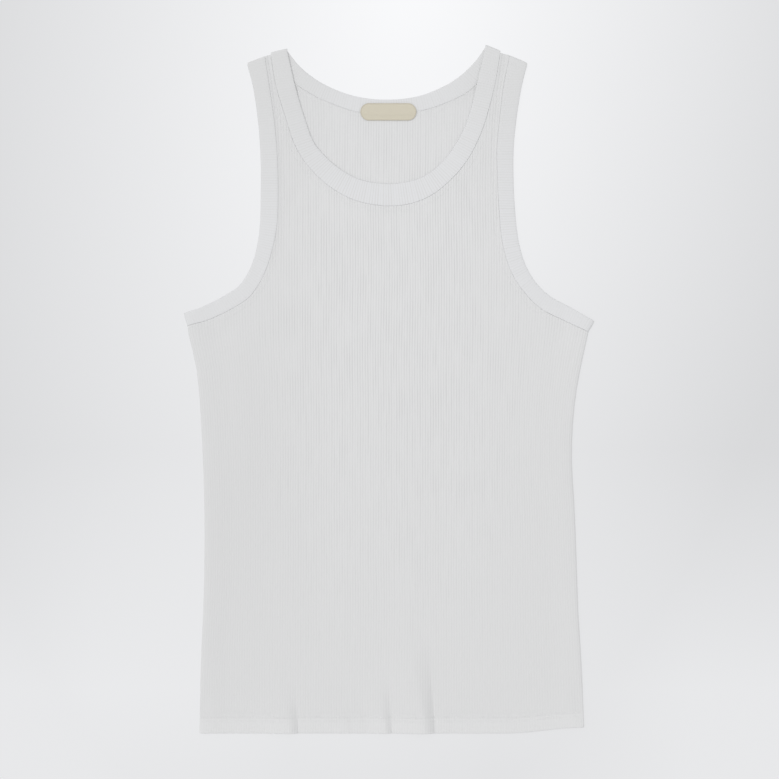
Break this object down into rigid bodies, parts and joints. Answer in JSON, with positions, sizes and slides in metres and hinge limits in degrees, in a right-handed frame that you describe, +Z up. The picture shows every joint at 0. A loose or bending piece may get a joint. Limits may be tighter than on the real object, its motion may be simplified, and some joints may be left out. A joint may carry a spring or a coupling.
{
  "type": "rib-knit tank top laid flat",
  "caption": "Sleeveless rib-knit top laid flat, front uppermost, with a deep round neck, cut-in armholes, folded bands and a turned hem.",
  "frame": {"origin": "on the surface that the top lies on, under the middle of its box", "axes": "+X to the viewer's right (the wearer's left), +Y from the hem to the neck, +Z up, out of the front of the garment"},
  "size_m": [0.4111, 0.6892, 0.0067],
  "materials": {
    "rib_knit": "fine upright ribs of white cotton, matt and slightly soft",
    "band_knit": "white cotton rib folded double, its ribs across the band, matt",
    "label_weave": "cream woven label, closely woven, faint sheen, bare"
  },
  "bodies": {
    "root": {"front_body": "rib_knit", "back_body": "rib_knit", "neck_band": "band_knit", "armhole_band_right": "band_knit", "armhole_band_left": "band_knit", "neck_label": "label_weave"}
  },
  "joints": []
}
